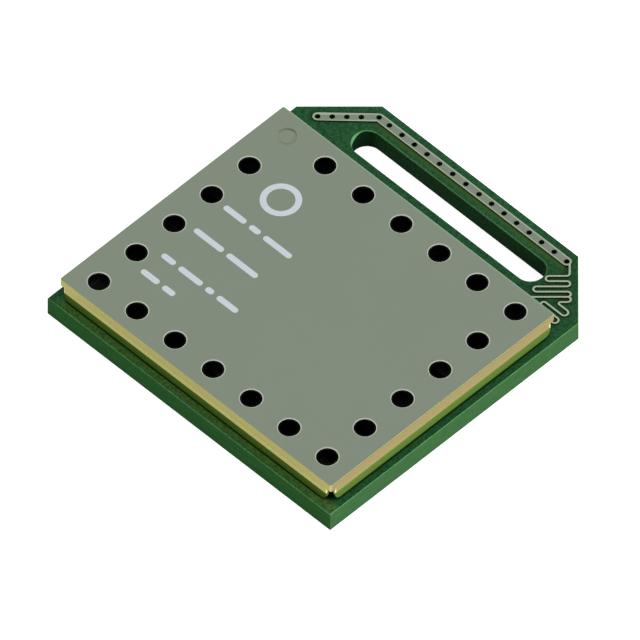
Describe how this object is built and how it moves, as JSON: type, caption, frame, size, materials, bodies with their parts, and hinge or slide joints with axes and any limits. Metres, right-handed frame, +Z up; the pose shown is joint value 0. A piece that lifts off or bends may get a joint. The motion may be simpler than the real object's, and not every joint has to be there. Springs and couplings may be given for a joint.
{
  "type": "cordless voice module",
  "caption": "Flat cordless phone radio module: green board with cut corners, folded shield can with vent holes, etched antenna beside a long slot, solder pads below.",
  "frame": {"origin": "under the middle of the board's outline, on the plane of the solder pads", "axes": "+X along the can's long side, +Y towards the antenna, +Z up out of the lid"},
  "size_m": [0.02, 0.0206, 0.0026],
  "materials": {
    "board": "green solder mask over glass fibre laminate, fine mottle, satin",
    "shield": "matt grey-green plated lid, walls polished to a warm gold mirror",
    "antenna_metal": "matt tinned copper",
    "gold_pads": "thin gold plating, satin",
    "contact_metal": "matt tin plating",
    "package": "black moulding compound, fine matt",
    "grey_ceramic": "fired grey ceramic, matt",
    "tan_ceramic": "fired brown ceramic, matt",
    "ferrite": "dark ferrite, matt"
  },
  "bodies": {
    "root": {"circuit_board": "board", "shield_can": "shield", "can_lands": "contact_metal", "printed_antenna": "antenna_metal", "antenna_back_strip": "antenna_metal", "edge_pads": "gold_pads", "ground_pads": "gold_pads", "radio_chip": "package", "radio_chip_contacts": "contact_metal", "power_amplifier": "package", "power_amplifier_contacts": "contact_metal", "antenna_switch": "package", "antenna_switch_contacts": "contact_metal", "flash_memory": "package", "flash_memory_contacts": "contact_metal", "voltage_regulator": "package", "voltage_regulator_contacts": "contact_metal", "crystal_base": "grey_ceramic", "crystal_lid": "contact_metal", "small_capacitors": "tan_ceramic", "small_capacitor_ends": "contact_metal", "resistors": "package", "resistor_ends": "contact_metal", "matching_inductors": "grey_ceramic", "matching_inductor_ends": "contact_metal", "large_capacitors": "tan_ceramic", "large_capacitor_ends": "contact_metal", "balun": "grey_ceramic", "balun_ends": "contact_metal", "band_filter": "grey_ceramic", "band_filter_ends": "contact_metal", "supply_coil": "ferrite", "supply_coil_ends": "contact_metal"}
  },
  "joints": []
}
